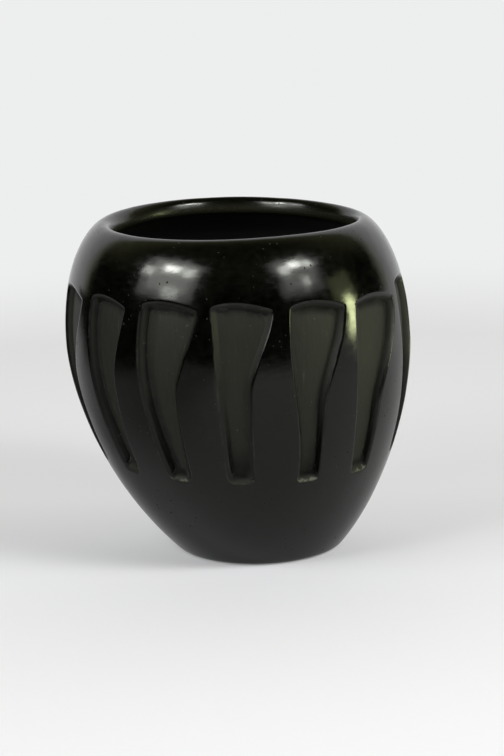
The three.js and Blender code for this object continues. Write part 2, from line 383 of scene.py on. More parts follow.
class Panel:
    """One feather panel, drawn across and along the wall from its quill line and the foot."""

    def __init__(self, carving, index):
        *sizes, self.wear, self.left_soot, self.right_soot, self.tail_shade = HAND[index % len(HAND)]
        sizes = [MM * size for size in sizes]
        tail_left, tail_right, head_left, head_right, low_bow, high_bow, bend, *sizes = sizes
        tail_lift, head_lift, self.left_slope, tail_slope = sizes
        self.bearing = carving.bearing + FULL_TURN * index / carving.count
        self.foot = carving.tail + carving.tail_round + tail_lift
        self.crown = carving.tail + carving.length - carving.head_arch + head_lift
        self.arch = carving.head_arch
        self.tilt = carving.head_tilt
        self.round = carving.tail_round
        self.ramp = carving.ramp
        self.brow = carving.brow
        self.right_slopes = tail_slope, carving.right_slope
        self.eased = smooth(tail_slope, *EASED_WIDTHS)
        third = (self.crown - self.foot) / 3
        low = (tail_left - low_bow, self.foot + third)
        high = (head_left - high_bow, self.crown - third)
        self.left_edge = bezier([(tail_left, self.foot), low, high, (head_left, self.crown)], EDGE_STEPS)
        along = np.linspace(self.foot, self.crown, EDGE_STEPS + 1)
        lean = carving.lean * (along - self.foot)
        flare = head_right - tail_right - lean[-1]
        right = tail_right + lean + flare * smooth(along, bend, self.crown)
        self.right_edge = np.stack([right, along], axis=1)

    def left(self, along):
        """Where the left edge is at a distance up the wall."""
        return np.interp(along, self.left_edge[:, 1], self.left_edge[:, 0])

    def right(self, along):
        """Where the right edge is at a distance up the wall."""
        return np.interp(along, self.right_edge[:, 1], self.right_edge[:, 0])

    def tail(self, share):
        """How far up the wall the rounded tail is, at a share of the way across."""
        return self.foot - self.round * (1 - np.abs(2 * share - 1) ** 5)

    def head(self, share):
        """How far up the wall the arched and tilted head is, at a share of the way across."""
        swung = share ** 0.8
        return self.crown + self.arch * 4 * swung * (1 - swung) + self.tilt * (0.5 - share)

    def share(self, across, along):
        """How far across the panel a point is, from 0 at the left edge to 1 at the right."""
        left = self.left(along)
        return np.clip((across - left) / (self.right(along) - left), 0, 1)

    def upper(self, along):
        """How far up the panel a point is, from 0 at the steep tail to 1 where the walls are gentle."""
        steep, gentle = STEEP_HEIGHTS
        return smooth(along, self.foot + steep, self.foot + gentle)

    def right_slope(self, along):
        """Width of the carved wall at the right, which is steep at the tail."""
        return mixed(*self.right_slopes, self.upper(along))

    def insets(self, across, along):
        """How far a point is in from the left, the right, the tail and the head, in widths of their walls."""
        step = 0.5 * MM
        sides = []
        for edge in (self.left, self.right):
            lean = (edge(along + step) - edge(along - step)) / (2 * step)
            sides.append((across - edge(along)) / np.hypot(1, lean))
        share = self.share(across, along)
        from_tail = (along - self.tail(share)) / self.ramp
        from_head = (self.head(share) - along) / self.brow
        return sides[0] / self.left_slope, -sides[1] / self.right_slope(along), from_tail, from_head

    def marks(self, across, along):
        """What the carved wall is like at each point, by the names in PLAIN_WALL."""
        from_left, from_right, from_tail, from_head = self.insets(across, along)
        sides = soft_min(from_left, from_right, SIDE_CORNER)
        slant = soft_min(from_head, soft_min(from_tail, sides, TAIL_CORNER), HEAD_CORNER)
        upper = self.upper(along)
        by_tail = smooth(sides - from_tail, *WALL_CHANGE)
        by_head = smooth(sides - from_head, *HEAD_CHANGE)
        at_right = smooth(from_left - from_right, *WALL_CHANGE)
        by_right = self.eased * at_right * (1 - by_tail)
        beside = np.maximum(by_tail, by_right)
        gentle = np.maximum(upper, beside)

        # The groove follows the foot of the steep walls, and is broader and deeper where more shade is
        # painted
        soot = mixed(mixed(self.left_soot, self.right_soot, at_right), 1, np.maximum(by_tail, by_head))
        faded = upper / np.maximum(soot, 1) ** 2
        thick = np.clip(soot - 1, 0, None) * (1 - upper)
        low, high = GROOVE_INNER
        groove = smooth(slant, *GROOVE_OUTER) * smooth(slant, low + 0.5 * thick, high + 0.3 * thick)
        groove = groove * (1 - np.maximum(faded, beside)) * (soot + 0.7 * thick)

        # Painted shade darkens the tail and the foot of the walls, less so up the panel and on an eased right
        # wall
        dark = mixed(1 - 0.75 * faded, 1, by_head) * (1 - 0.8 * by_right * (1 - by_head))
        border = smooth(slant, 1.1 + soot, 0.1 + soot) * (dark * np.minimum(soot, 1))
        painted_tail_shade = self.tail_shade * smooth(from_tail, *TAIL_SHADE)
        on_steep, on_gentle, on_tail = SLIP_EDGES
        return {
            "slant": slant,
            "upper": upper,
            "gentle": gentle,
            "groove": groove,
            "shade": smooth(slant, *BORDER_OUTER) * np.maximum(border, painted_tail_shade),
            "reach": slant - mixed(mixed(on_steep, on_gentle, gentle), on_tail, by_tail),
            "wear": self.wear * smooth(from_tail, *WORN_END),
        }


def band_columns(panel, wall):
    """Distance along the wall and angle of every mesh point from just left to just right of a panel."""
    share = np.full((EDGE_LINES * 2 + BAND_ROWS, EDGE_LINES * 2 + FLOOR_COLUMNS), 0.5)
    band = slice(EDGE_LINES, EDGE_LINES + BAND_ROWS)
    floor = slice(EDGE_LINES, EDGE_LINES + FLOOR_COLUMNS)
    tail_lines, head_lines, left_lines = (
        EDGE_OUT + EDGE_IN * width for width in (panel.ramp, panel.brow, panel.left_slope)
    )
    for _ in range(BAND_ROUNDS):
        tail = panel.tail(share)
        head = panel.head(share)
        along = np.vstack([
            tail[:EDGE_LINES] + tail_lines[:, None],
            mixed(tail[band] + tail_lines[-1], head[band] - head_lines[-1], between(BAND_ROWS)[:, None]),
            head[band.stop:] - head_lines[::-1, None],
        ])
        left = panel.left(along)
        right = panel.right(along)
        steep = panel.right_slope(along)
        right_lines = EDGE_OUT[::-1] + EDGE_IN[::-1] * steep[:, -EDGE_LINES:]
        inner_right = right[:, floor] - EDGE_IN[-1] * steep[:, floor]
        across = np.hstack([
            left[:, :EDGE_LINES] + left_lines,
            mixed(left[:, floor] + left_lines[-1], inner_right, between(FLOOR_COLUMNS)),
            right[:, -EDGE_LINES:] - right_lines,
        ])
        share = panel.share(across, along)
    angle = panel.bearing + across / wall.at(along)[0]
    return along, angle


class Grid:
    """Where each mesh point of the jar lies, by its row up the section and its column round the jar."""

    def __init__(self, form, carving):
        self.wall = Wall(form)
        self.panels = [Panel(carving, index) for index in range(carving.count)]
        along, angle = self.band()
        self.columns = along.shape[1]
        even = np.arange(self.columns) * FULL_TURN / self.columns
        self.even = even + (angle.mean(axis=0) - even).mean()
        low = np.linspace(0, 1, LOWER_ROWS + 1)[:-1, None]
        high = np.linspace(0, 1, SHOULDER_ROWS + 1)[1:, None]
        lower = mixed(form.foot_edge, along[0], low)
        upper = mixed(along[-1], self.wall.length, high)
        self.along = np.vstack([lower, along, upper])
        self.angle = np.vstack([
            mixed(self.even, angle[0], smooth(low, 0.2, 1)),
            angle,
            mixed(angle[-1], self.even, smooth(high, 0, 0.9)),
        ])
        self.rib_along = self.along[:, 2 * EDGE_LINES + FLOOR_COLUMNS + RIB_COLUMNS // 2]
        self.section(form)
        self.read_panels(carving)

    def band(self):
        """The mesh points between the panels' tails and heads, with the ribs between the panels filled in."""
        cells = [band_columns(panel, self.wall) for panel in self.panels]
        along = []
        angle = []
        parts = between(RIB_COLUMNS)
        for index, (cell_along, cell_angle) in enumerate(cells):
            next_along, next_angle = cells[(index + 1) % len(cells)]
            turn = FULL_TURN if index + 1 == len(cells) else 0
            along += [cell_along, mixed(cell_along[:, -1:], next_along[:, :1], parts)]
            angle += [cell_angle, mixed(cell_angle[:, -1:], next_angle[:, :1] + turn, parts)]
        return np.hstack(along), np.hstack(angle)

    def section(self, form):
        """Radius and height of every row in section, from the underside round the lip to the inside floor."""
        wall = self.wall
        under = np.stack([UNDERSIDE_RADII, 0 * UNDERSIDE_RADII], axis=1)
        heel = (form.foot_radius - form.foot_edge, 0)
        edge = bezier([heel, (form.foot_radius, 0), wall.at(form.foot_edge)], FOOT_ROWS)
        outer = np.stack(wall.at(self.rib_along), axis=1)
        turn = np.linspace(0, math.pi / 2, LIP_ROWS + 1)[1:]
        throat = np.array((form.lip_radius - form.lip_round, form.height - form.lip_drop))
        lip_radius = form.lip_radius - form.lip_round * np.sin(turn)
        lip = np.stack([lip_radius, throat[1] + form.lip_drop * np.cos(turn)], axis=1)
        top = form.base_course + len(COILS) * self.course_step(form) - form.joint_lap / 2
        bottom = form.base_course - form.joint_lap / 2
        self.inner_along = np.linspace(top, bottom, INSIDE_ROWS + 1)[1:]
        inner = np.stack(wall.at(self.inner_along, -form.wall), axis=1)

        # The inside wall runs on at its own slope, up into the throat and down into the bowl
        inside = np.array(wall.at(top, -form.wall))
        uphill = inside + self.slope(top, MM) * form.vault_reach
        vault = bezier([throat, throat - (0, form.throat_reach), uphill, inside], VAULT_ROWS)[1:]
        downhill = inner[-1] + self.slope(bottom, -MM) * form.bowl_reach
        level = form.base_thickness
        bowl = bezier([inner[-1], downhill, (form.floor_reach, level), (0, level)], BOWL_ROWS * 8)
        stops = np.linspace(inner[-1][0], BOWL_HOLE, BOWL_ROWS + 1)[1:]
        floor = np.stack([stops, np.interp(stops, bowl[::-1, 0], bowl[::-1, 1])], axis=1)
        self.first_wall = len(under) + FOOT_ROWS
        self.first_lip = self.first_wall + len(outer)
        self.first_inner = self.first_lip + len(lip) + len(vault)
        self.spread = form.lip_spread * np.append(np.sin(turn), np.linspace(1, 0, len(vault)))
        self.rows = np.vstack([under, edge[:-1], outer, lip, vault, inner, floor])

    def slope(self, distance, step):
        """Direction of the wall at a distance up it, upwards or downwards as the step is."""
        run = np.array(self.wall.at(distance + step)) - np.array(self.wall.at(distance))
        return run / np.hypot(*run)

    def course_step(self, form):
        """How far up the wall one coil reaches."""
        return (self.wall.length - form.base_course - form.rim_course) / len(COILS)

    def read_panels(self, carving):
        """Finds what the wall is like at each of its points, from the panel that cuts deepest there."""
        radius = self.wall.at(self.along)[0]
        self.marks = {name: np.full(self.along.shape, value) for name, value in PLAIN_WALL.items()}
        for panel in self.panels:
            turn = (self.angle - panel.bearing + math.pi) % FULL_TURN - math.pi
            near = np.abs(turn) < FULL_TURN / carving.count
            found = panel.marks(np.where(near, turn, 0) * radius, self.along)
            deeper = near & (found["slant"] > self.marks["slant"])
            for name, values in found.items():
                self.marks[name] = np.where(deeper, values, self.marks[name])

    def points(self):
        """Upright places of all the mesh points, by row and column."""
        radius = np.repeat(self.rows[:, :1], self.columns, axis=1)
        height = np.repeat(self.rows[:, 1:], self.columns, axis=1)
        angle = np.repeat(self.even[None], len(self.rows), axis=0)
        band = slice(self.first_wall, self.first_lip)
        radius[band], height[band] = self.wall.at(self.along)
        angle[band] = self.angle
        lip = slice(self.first_lip, self.first_inner)
        radius[lip] -= np.outer(self.spread, smooth(-np.cos(self.even), 0.2, 1))
        return np.stack([radius * np.cos(angle), radius * np.sin(angle), height], axis=2)

    def carved(self, carving):
        """How deep each wall point is carved: rounded edges over steep, grooved walls or gentle ones."""
        across = np.clip((self.marks["slant"] + carving.edge_round) / (1 + carving.edge_round), 0, 1)
        steep = 1 - (1 - across ** STEEP_POWER) ** (1 / STEEP_POWER)
        gentle = mixed(across ** GENTLE_POWER, smooth(across, 0, 1), GENTLE_SHARE)
        deep = mixed(steep, gentle, self.marks["gentle"])
        shallow = mixed(TAIL_DEPTH, 1, smooth(self.along, carving.tail, carving.tail + TAIL_LENGTH))
        return carving.depth * deep * shallow + carving.groove * self.marks["groove"]

    def joint_rows(self, form, joint):
        """The outer and the inner row that lie along a coil joint, counted up from the base."""
        middle = form.base_course + joint * self.course_step(form)
        outer = np.argmin(np.abs(self.rib_along - middle - form.joint_lap / 2))
        inner = np.argmin(np.abs(self.inner_along - middle + form.joint_lap / 2))
        if joint == 0:
            inner = len(self.inner_along) - 1
        if joint == len(COILS):
            inner = -1
        return self.first_wall + outer, self.first_inner + inner


def settled(points, form):
    """Where the upright points lie on the jar as it was built by hand."""
    share = points[:, 2] / form.height
    bearing = np.arctan2(points[:, 1], points[:, 0])
    tilt = form.rim_tilt * np.cos(bearing - TILT_BEARING)
    saddle = form.rim_saddle * np.cos(2 * (bearing - CROWN_BEARING))
    moved = points.copy()
    moved[:, 0] -= form.lean * share * (2 - share)
    moved[:, 2] += smooth(points[:, 2], form.sway_start, form.height) * (tilt + saddle)
    return moved


def read(items, name, width=1, kind=float):
    """The values that the items of a mesh hold under a name, one or a row of them for each item."""
    values = np.empty(len(items) * width, dtype=kind)
    items.foreach_get(name, values)
    return values if width == 1 else values.reshape(-1, width)


def keep(mesh, name, values):
    """Keeps a number for each point of a mesh under a name."""
    layer = mesh.attributes.new(name, "FLOAT", "POINT")
    layer.data.foreach_set("value", np.asarray(values, dtype=np.float32))


def point_rows(mesh):
    """The row up the section that each point of a mesh is in."""
    return np.round(read(mesh.attributes["row"].data, "value")).astype(int)


def face_rows(mesh):
    """The lowest and the highest row that each face of a mesh touches."""
    row = point_rows(mesh)[read(mesh.loops, "vertex_index", kind=int)]
    starts = read(mesh.polygons, "loop_start", kind=int)
    return np.minimum.reduceat(row, starts), np.maximum.reduceat(row, starts)


def make_active(thing):
    """Selects one object alone and makes it the active one."""
    bpy.ops.object.select_all(action="DESELECT")
    thing.select_set(True)
    bpy.context.view_layer.objects.active = thing


def edit_chosen(thing, kind, items, chosen):
    """Enters edit mode on an object with only the chosen faces or edges selected."""
    make_active(thing)
    bpy.ops.object.mode_set(mode="EDIT")
    bpy.ops.mesh.select_mode(type=kind)
    bpy.ops.mesh.select_all(action="DESELECT")
    bpy.ops.object.mode_set(mode="OBJECT")
    getattr(thing.data, items).foreach_set("select", chosen)
    bpy.ops.object.mode_set(mode="EDIT")


def weigh(thing, name, weights):
    """Keeps a vertex group of the points that have a weight."""
    group = thing.vertex_groups.new(name=name)
    for index in np.flatnonzero(weights > 0):
        group.add([int(index)], float(weights[index]), "REPLACE")


def displace(thing, group, strength, mid_level, swell=None):
    """Pushes the surface along its normals where a vertex group says so, evenly or in swells of a size."""
    push = thing.modifiers.new(group, "DISPLACE")
    push.direction = "NORMAL"
    push.vertex_group = group
    push.strength = strength
    push.mid_level = mid_level
    if swell is not None:
        texture = bpy.data.textures.new("hand_work", "CLOUDS")
        texture.noise_scale = swell
        texture.noise_depth = 1
        texture.noise_basis = "ORIGINAL_PERLIN"
        push.texture = texture
        push.texture_coords = "LOCAL"
    make_active(thing)
    bpy.ops.object.modifier_apply(modifier=push.name)


def spun(rows, columns, panels):
    """A closed body: one point drawn out along the section, spun for one panel, copied round and capped."""
    bpy.ops.object.select_all(action="DESELECT")
    bpy.ops.mesh.primitive_plane_add(size=MM, location=(0, 0, 0))
    body = bpy.context.object
    body.name = BODY
    body.data.name = BODY
    bpy.ops.object.mode_set(mode="EDIT")
    bpy.ops.mesh.select_all(action="SELECT")
    bpy.ops.mesh.merge(type="CENTER")
    bpy.ops.transform.translate(value=(rows[0][0], 0, rows[0][1]))
    for before, after in zip(rows, rows[1:]):
        step = (after[0] - before[0], 0, after[1] - before[1])
        bpy.ops.mesh.extrude_vertices_move(TRANSFORM_OT_translate={"value": step})
    turn = FULL_TURN / panels
    copies = panels - 1
    axis = {"center": (0, 0, 0), "axis": (0, 0, 1)}
    for work, settings in (
        (bpy.ops.mesh.spin, {"steps": columns // panels, "angle": turn, **axis}),
        (bpy.ops.mesh.spin, {"steps": copies, "dupli": True, "angle": copies * turn, **axis}),
        (bpy.ops.mesh.remove_doubles, {"threshold": 0.01 * MM}),
        (bpy.ops.mesh.fill_holes, {"sides": 0}),
        (bpy.ops.mesh.normals_make_consistent, {"inside": False}),
    ):
        bpy.ops.mesh.select_all(action="SELECT")
        work(**settings)
    bpy.ops.object.mode_set(mode="OBJECT")
    bpy.ops.object.shade_smooth()
    return body


def number_points(body, grid):
    """The row up the section and the column round it of each point of the spun body."""
    found = read(body.data.vertices, "co", 3)
    radius = np.hypot(found[:, 0], found[:, 1])
    row = np.empty(len(found), dtype=int)
    batch = 4000
    for first in range(0, len(found), batch):
        part = slice(first, first + batch)
        out = radius[part, None] - grid.rows[None, :, 0]
        up = found[part, 2, None] - grid.rows[None, :, 1]
        row[part] = np.argmin(np.hypot(out, up), axis=1)
    turn = np.arctan2(found[:, 1], found[:, 0]) / FULL_TURN * grid.columns
    column = np.round(turn).astype(int) % grid.columns
    if len(np.unique(row * grid.columns + column)) != len(grid.rows) * grid.columns:
        raise RuntimeError("the spun body's rows and columns could not be told apart")
    return row, column


def raise_body(form, carving):
    """Raises, carves and settles the jar as one body of clay."""
    grid = Grid(form, carving)
    body = spun(grid.rows, grid.columns, carving.count)
    mesh = body.data
    row, column = number_points(body, grid)
    upright = grid.points()[row, column]
    mesh.vertices.foreach_set("co", upright.ravel())
    mesh.update()

    on_wall = (row >= grid.first_wall) & (row < grid.first_lip)
    wall_row = np.clip(row - grid.first_wall, 0, len(grid.along) - 1)
    depth = np.where(on_wall, grid.carved(carving)[wall_row, column], 0)
    deepest = depth.max()
    height = upright[:, 2]
    outwards = np.hypot(upright[:, 0], upright[:, 1])
    weigh(body, "carving", np.where(depth > LEAST_CUT, depth / deepest, 0))
    weigh(body, "hand", smooth(height, *WAVER_HEIGHTS) * smooth(outwards, *WAVER_RADII))
    displace(body, "carving", -deepest, 0)
    displace(body, "hand", form.waver, 0.5, SWELL)
    displace(body, "hand", form.facet, 0.5, FACET)
    mesh = body.data
    mesh.vertices.foreach_set("co", settled(read(mesh.vertices, "co", 3), form).ravel())
    mesh.update()
    body.vertex_groups.clear()

    # The slip that was rubbed once lies deep in the bowl and inside the lip, where its lighter colour also
    # paints the light on the lip's inner band, and the throat between is painted black as its shade
    throat = grid.first_lip + LIP_ROWS
    inside = smooth(row, grid.first_lip + 3, throat - 2) * (1 - smooth(row, throat - 3, throat + 1))
    deep = (row >= grid.first_inner) * smooth(height, *BOWL_HEIGHTS)
    # shade says where shade is painted at the feet of the carved walls and in the tails
    for name in ("slant", "reach", "upper", "shade", "wear"):
        keep(mesh, name, np.where(on_wall, grid.marks[name][wall_row, column], PLAIN_WALL[name]))
    keep(mesh, "inside", np.maximum(inside, deep))
    keep(mesh, "throat_shade", smooth(row, throat - 1, throat + 3))
    keep(mesh, "row", row)
    joints = [grid.joint_rows(form, joint) for joint in range(len(COILS) + 1)]
    body["joints"] = [int(row) for joint in joints for row in joint]
    body["last_row"] = len(grid.rows) - 1
    return body


def remember_normals(mesh):
    """Keeps the whole body's smooth normals, so that the parted pieces still shade as one surface."""
    layer = mesh.attributes.new("lay", "FLOAT_VECTOR", "POINT")
    layer.data.foreach_set("vector", read(mesh.vertex_normals, "vector", 3).ravel())


def part_course(body, name, joint_below, joint_above):
    """Separates the clay between two coil joints from the body and closes the joint faces."""
    joints = np.array(body["joints"]).reshape(-1, 2)
    bottom = joints[joint_below] if joint_below is not None else (0, body["last_row"])
    low, high = face_rows(body.data)
    if joint_above is None:
        chosen = (low >= bottom[0]) & (high <= bottom[1])
    else:
        top = joints[joint_above]
        chosen = ((low >= bottom[0]) & (high <= top[0])) | ((low >= top[1]) & (high <= bottom[1]))
    piece = body
    if not chosen.all():
        before = set(bpy.data.objects)
        edit_chosen(body, "FACE", "polygons", chosen)
        bpy.ops.mesh.separate(type="SELECTED")
        bpy.ops.object.mode_set(mode="OBJECT")
        piece = (set(bpy.data.objects) - before).pop()
    piece.name = name + "_clay"
    piece.data.name = piece.name
    for fact in ("joints", "last_row"):
        if fact in piece:
            del piece[fact]
    for joint in (joint_below, joint_above):
        if joint is not None:
            close_joint(piece, joints[joint])
    face_outwards(piece)
    finish_normals(piece)
    return piece


def close_joint(piece, joint):
    """Bridges the outer and the inner ring of a coil joint, which the lute and the burnish hide."""
    mesh = piece.data
    ends = point_rows(mesh)[read(mesh.edges, "vertices", 2, int)]
    ring = (ends[:, 0] == ends[:, 1]) & np.isin(ends[:, 0], joint)
    edit_chosen(piece, "EDGE", "edges", ring)
    bpy.ops.mesh.mark_sharp()
    bpy.ops.mesh.bridge_edge_loops()
    bpy.ops.mesh.select_all(action="SELECT")
    bpy.ops.mesh.normals_make_consistent(inside=False)
    bpy.ops.object.mode_set(mode="OBJECT")


def face_outwards(piece):
    """Turns a closed ring of clay right side out where recalculating its normals has turned it inside out."""
    faces = piece.data.polygons
    heights = (read(faces, "center", 3) * read(faces, "normal", 3)).sum(axis=1)
    if (heights * read(faces, "area")).sum() < 0:
        make_active(piece)
        bpy.ops.object.mode_set(mode="EDIT")
        bpy.ops.mesh.select_all(action="SELECT")
        bpy.ops.mesh.flip_normals()
        bpy.ops.object.mode_set(mode="OBJECT")


def finish_normals(piece):
    """Gives a parted piece the whole body's normals on its skin, and flat ones on its joint faces."""
    mesh = piece.data
    low, high = face_rows(mesh)
    sides = read(mesh.polygons, "loop_total", kind=int)
    on_skin = np.repeat(high - low == 1, sides)
    lay = read(mesh.attributes["lay"].data, "vector", 3)[read(mesh.loops, "vertex_index", kind=int)]
    flat = np.repeat(read(mesh.polygons, "normal", 3), sides, axis=0)
    mesh.normals_split_custom_set(np.where(on_skin[:, None], lay, flat).tolist())
    for name in ("lay", "row"):
        mesh.attributes.remove(mesh.attributes[name])


def node(tree, kind, sockets=(), out=0, **settings):
    """Adds a node with its settings, sets or links its sockets in order or by name, and gives one output.

    A Map Range takes its value, the range that it comes from and the range that it goes to.
    A Mix takes its share in socket 0, and its two values in 2 and 3 or its two colours in 6 and 7.
    """
    made = tree.nodes.new("ShaderNode" + kind)
    for name, value in settings.items():
        setattr(made, name, value)
    for socket, value in sockets.items() if isinstance(sockets, dict) else enumerate(sockets):
        if isinstance(value, bpy.types.NodeSocket):
            tree.links.new(value, made.inputs[socket])
        else:
            made.inputs[socket].default_value = value
    return made.outputs[out] if made.outputs else made


def new_tree(owner):
    """Empties the node tree of a material or a world, and gives the function that adds nodes to it."""
    owner.use_nodes = True
    owner.node_tree.nodes.clear()
    return partial(node, owner.node_tree)


def rgba(colour, level=1.0):
    """A colour for a node's socket, at a level of brightness."""
    return (*(level * share for share in colour), 1)


def per_metre(size):
    """The scale at which a pattern repeats about once in a size."""
    return 1 / size


def smudge_fired_blackware(finish):
    """Earthenware slip rubbed with a stone and smudged black in the firing, with matt slip in the carving.

    The burnished wall mirrors the studio in a deep black, broken by the strokes of the stone and by pits.
    The carved walls are burnished less, the floors scatter light as an olive grey, and worn clay shows
    at the tails. Shade is painted at the feet of the carved walls, in the tails and in the throat, and light
    is painted on the band inside the lip and, with the worn clay, along the carved edges.
    """
    material = bpy.data.materials.new("smudge_fired_blackware_burnished_and_matt")
    add = new_tree(material)
    place = add("TexCoord", out="Object")
    slant, upper, reach, inside, throat_shade, shade, wear = (
        add("Attribute", out="Fac", attribute_name=name)
        for name in ("slant", "upper", "reach", "inside", "throat_shade", "shade", "wear")
    )

    ragged, patches, chipped, mottle, drift, grain = (
        add("TexNoise", {
            "Vector": place, "Scale": per_metre(size * MM), "Detail": detail, "Roughness": rough
        })
        for size, detail, rough in NOISES
    )

    # Strokes of the stone run round the jar, so their noise is drawn out level and packed close in height,
    # and the scrape marks in the matt slip run down the panels
    strokes, scrape = (
        add("TexNoise", {
            "Vector": add("Mapping", {
                "Vector": place, "Scale": (per_metre(across), per_metre(across), per_metre(high))
            }),
            "Scale": 1.0,
            "Detail": 3.0,
        })
        for across, high in ((2.5 * finish.streak, finish.streak), (1.1 * MM, 9 * MM))
    )

    # Where the finishes lie: burnish on ribs and steep walls, matt slip on floors and gentle walls
    wander = add("Math", (ragged, 0.2, -0.1), operation="MULTIPLY_ADD")
    reach = add("Math", (reach, wander), operation="ADD")
    carved = add("MapRange", (slant, -0.3, 0.3), **SMOOTH_STEP)
    matt = add("MapRange", (reach, -0.12, 0.1), **SMOOTH_STEP)
    floor = add("MapRange", (reach, 0.0, 0.3), **SMOOTH_STEP)

    # Foot of the carved walls, where the slip lies thin: a soft, uneven dark border of painted shade
    soot = add("MapRange", (patches, 0.38, 0.62, 0.6, 1.0))
    soot = add("Math", (shade, soot), operation="MULTIPLY")

    # Worn clay: chips at the tails, and a faint broken line along the carved edges that is partly wear and
    # partly a painted highlight on their rounding
    from_edge = add("Math", (slant, 0.04), operation="SUBTRACT")
    from_edge = add("Math", (from_edge,), operation="ABSOLUTE")
    edge = add("MapRange", (from_edge, 0.2, 0.02, 0.0, 0.16), **SMOOTH_STEP)
    patchy = add("MapRange", (patches, 0.45, 0.7))
    line = add("Math", (edge, patchy), operation="MULTIPLY")
    chips = add("Math", (wear, 0.34, chipped), operation="MULTIPLY_ADD")
    chips = add("MapRange", (chips, 0.7, 0.82, 0.0, 0.75))
    on_wall = add("MapRange", (slant, -0.1, 0.1), **SMOOTH_STEP)
    chips = add("Math", (chips, on_wall), operation="MULTIPLY")
    wear_and_highlight = add("Math", (line, chips), operation="MAXIMUM")

    # Pits: a few of the points of a fine cell pattern, gathered in drifts
    cell = 2.6 * MM
    rarest = 0.55
    distance = add("TexVoronoi", {"Vector": place, "Scale": per_metre(cell)}, "Distance", feature="F1")
    chance = add("SeparateColor", (distance.node.outputs["Color"],))
    drifted = add("MapRange", (drift, 0.34, 0.54))
    some = add("Math", (chance, rarest), operation="GREATER_THAN")
    size = add("MapRange", (chance, rarest, 1.0, 0.4))
    for share in (some, drifted, finish.pit / (2 * cell)):
        size = add("Math", (size, share), operation="MULTIPLY")
    room = add("Math", (size, distance), operation="SUBTRACT")
    pit = add("MapRange", (room, -0.01, 0.03))

    # Dust: tiny pale specks on a few other points of the same pattern
    few = add("Math", (chance, 0.22), operation="LESS_THAN")
    near = add("MapRange", (distance, 0.085, 0.03))
    dust = add("Math", (few, near), operation="MULTIPLY")
    dust = add("Math", (dust, 0.5), operation="MULTIPLY")
    spoilt = add("Math", (wear_and_highlight, dust), operation="MAXIMUM")

    # Colour: the slip with its scrapes and painted shade over the smudged black, then the throat's painted
    # shade, the inside's slip with its painted lit band, worn clay with its painted edge highlight, and dust
    cloudy = add("Math", (mottle, ragged), operation="ADD")
    smoky = add("MapRange", (cloudy, 0.75, 1.3))
    streaky = add("MapRange", (scrape, 0.3, 0.7))
    scuff = add("MapRange", (scrape, 0.66, 0.8, 0.0, 0.2))
    # The slip is darker towards the tail of each panel
    darker_towards_tail = add("MapRange", (upper, 0.0, 0.8, 0.3, 0.0))
    thin = rgba(finish.thin)
    worn_clay = rgba(finish.wear_and_highlight)
    slip = add("Mix", {0: streaky, 6: rgba(finish.slip, 0.85), 7: rgba(finish.slip, 1.12)}, **COLOURS)
    slip = add("Mix", {0: scuff, 6: slip, 7: worn_clay}, **COLOURS)
    slip = add("Mix", {0: darker_towards_tail, 6: slip, 7: thin}, **COLOURS)
    slip = add("Mix", {0: floor, 6: thin, 7: slip}, **COLOURS)
    # Painted shade at the feet of the walls and in the tails turns the slip black
    slip = add("Mix", {0: soot, 6: slip, 7: rgba(finish.burnish)}, **COLOURS)
    colour = rgba(finish.burnish)
    for share, over in (
        (smoky, rgba(finish.smoke)),
        (matt, slip),
        # The throat and the inside below it are painted black as their shade, except where the inside's slip
        # lies over it
        (throat_shade, rgba(finish.burnish, 0.3)),
        # Inside the lip the lighter slip also paints the light on the lip's inner band
        (inside, rgba(finish.inside)),
        (spoilt, worn_clay),
    ):
        colour = add("Mix", {0: share, 6: colour, 7: over}, **COLOURS)

    # Roughness: the strokes, and what lies over them
    dry = add("MapRange", (soot, 0.0, 1.0, ROUGHNESS["slip"], ROUGHNESS["soot"]))
    rough = add("MapRange", (strokes, 0.3, 0.7, *STROKE_ROUGHNESS))
    for share, over in (
        (carved, ROUGHNESS["carved"]),
        (inside, ROUGHNESS["inside"]),
        (throat_shade, ROUGHNESS["throat_shade"]),
        (pit, ROUGHNESS["pit"]),
        (matt, dry),
        (wear_and_highlight, ROUGHNESS["wear_and_highlight"]),
    ):
        rough = add("Mix", {0: share, 2: rough, 3: over})

    # Relief in millimetres: strokes, grain and pits on the burnish, scrapes and grain on the slip
    reliefs = []
    for marks in (((strokes, 0.013), (grain, 0.005), (pit, -0.12)), ((scrape, 0.10), (grain, 0.05))):
        height = 0.0
        for pattern, rise in marks:
            height = add("Math", (pattern, rise * MM, height), operation="MULTIPLY_ADD")
        reliefs.append(height)
    relief = add("Mix", {0: matt, 2: reliefs[0], 3: reliefs[1]})
    bump = add("Bump", {"Height": relief, "Strength": 1.0, "Distance": 1.0})
    shader = add("BsdfPrincipled", {
        "Base Color": colour,
        "Roughness": rough,
        "Normal": bump,
        "IOR": BLACKWARE_IOR,
        "Specular Tint": BLACKWARE_TINT,
    })
    add("OutputMaterial", {"Surface": shader})
    return material


def heading(azimuth, elevation):
    """The direction at an angle round from the front to the right, and at an angle above level."""
    turn = math.radians(azimuth)
    rise = math.radians(elevation)
    return Vector((math.sin(turn) * math.cos(rise), -math.cos(turn) * math.cos(rise), math.sin(rise)))


def softbox(name, azimuth, elevation, distance, wide, high, radiance, colour):
    """A flat lamp that faces the jar, of a given angular size and radiance."""
    towards = heading(azimuth, elevation)
    bpy.ops.object.light_add(type="AREA", location=LAMP_CENTRE + towards * distance)
    lamp = bpy.context.object
    lamp.name = name
    lamp.rotation_euler = towards.to_track_quat("Z", "Y").to_euler()
    lamp.data.shape = "RECTANGLE"
    lamp.data.size = 2 * distance * math.tan(math.radians(wide) / 2)
    lamp.data.size_y = 2 * distance * math.tan(math.radians(high) / 2)
    lamp.data.energy = math.pi * radiance * lamp.data.size * lamp.data.size_y
    lamp.data.color = colour
    lamp.visible_camera = False
    return lamp


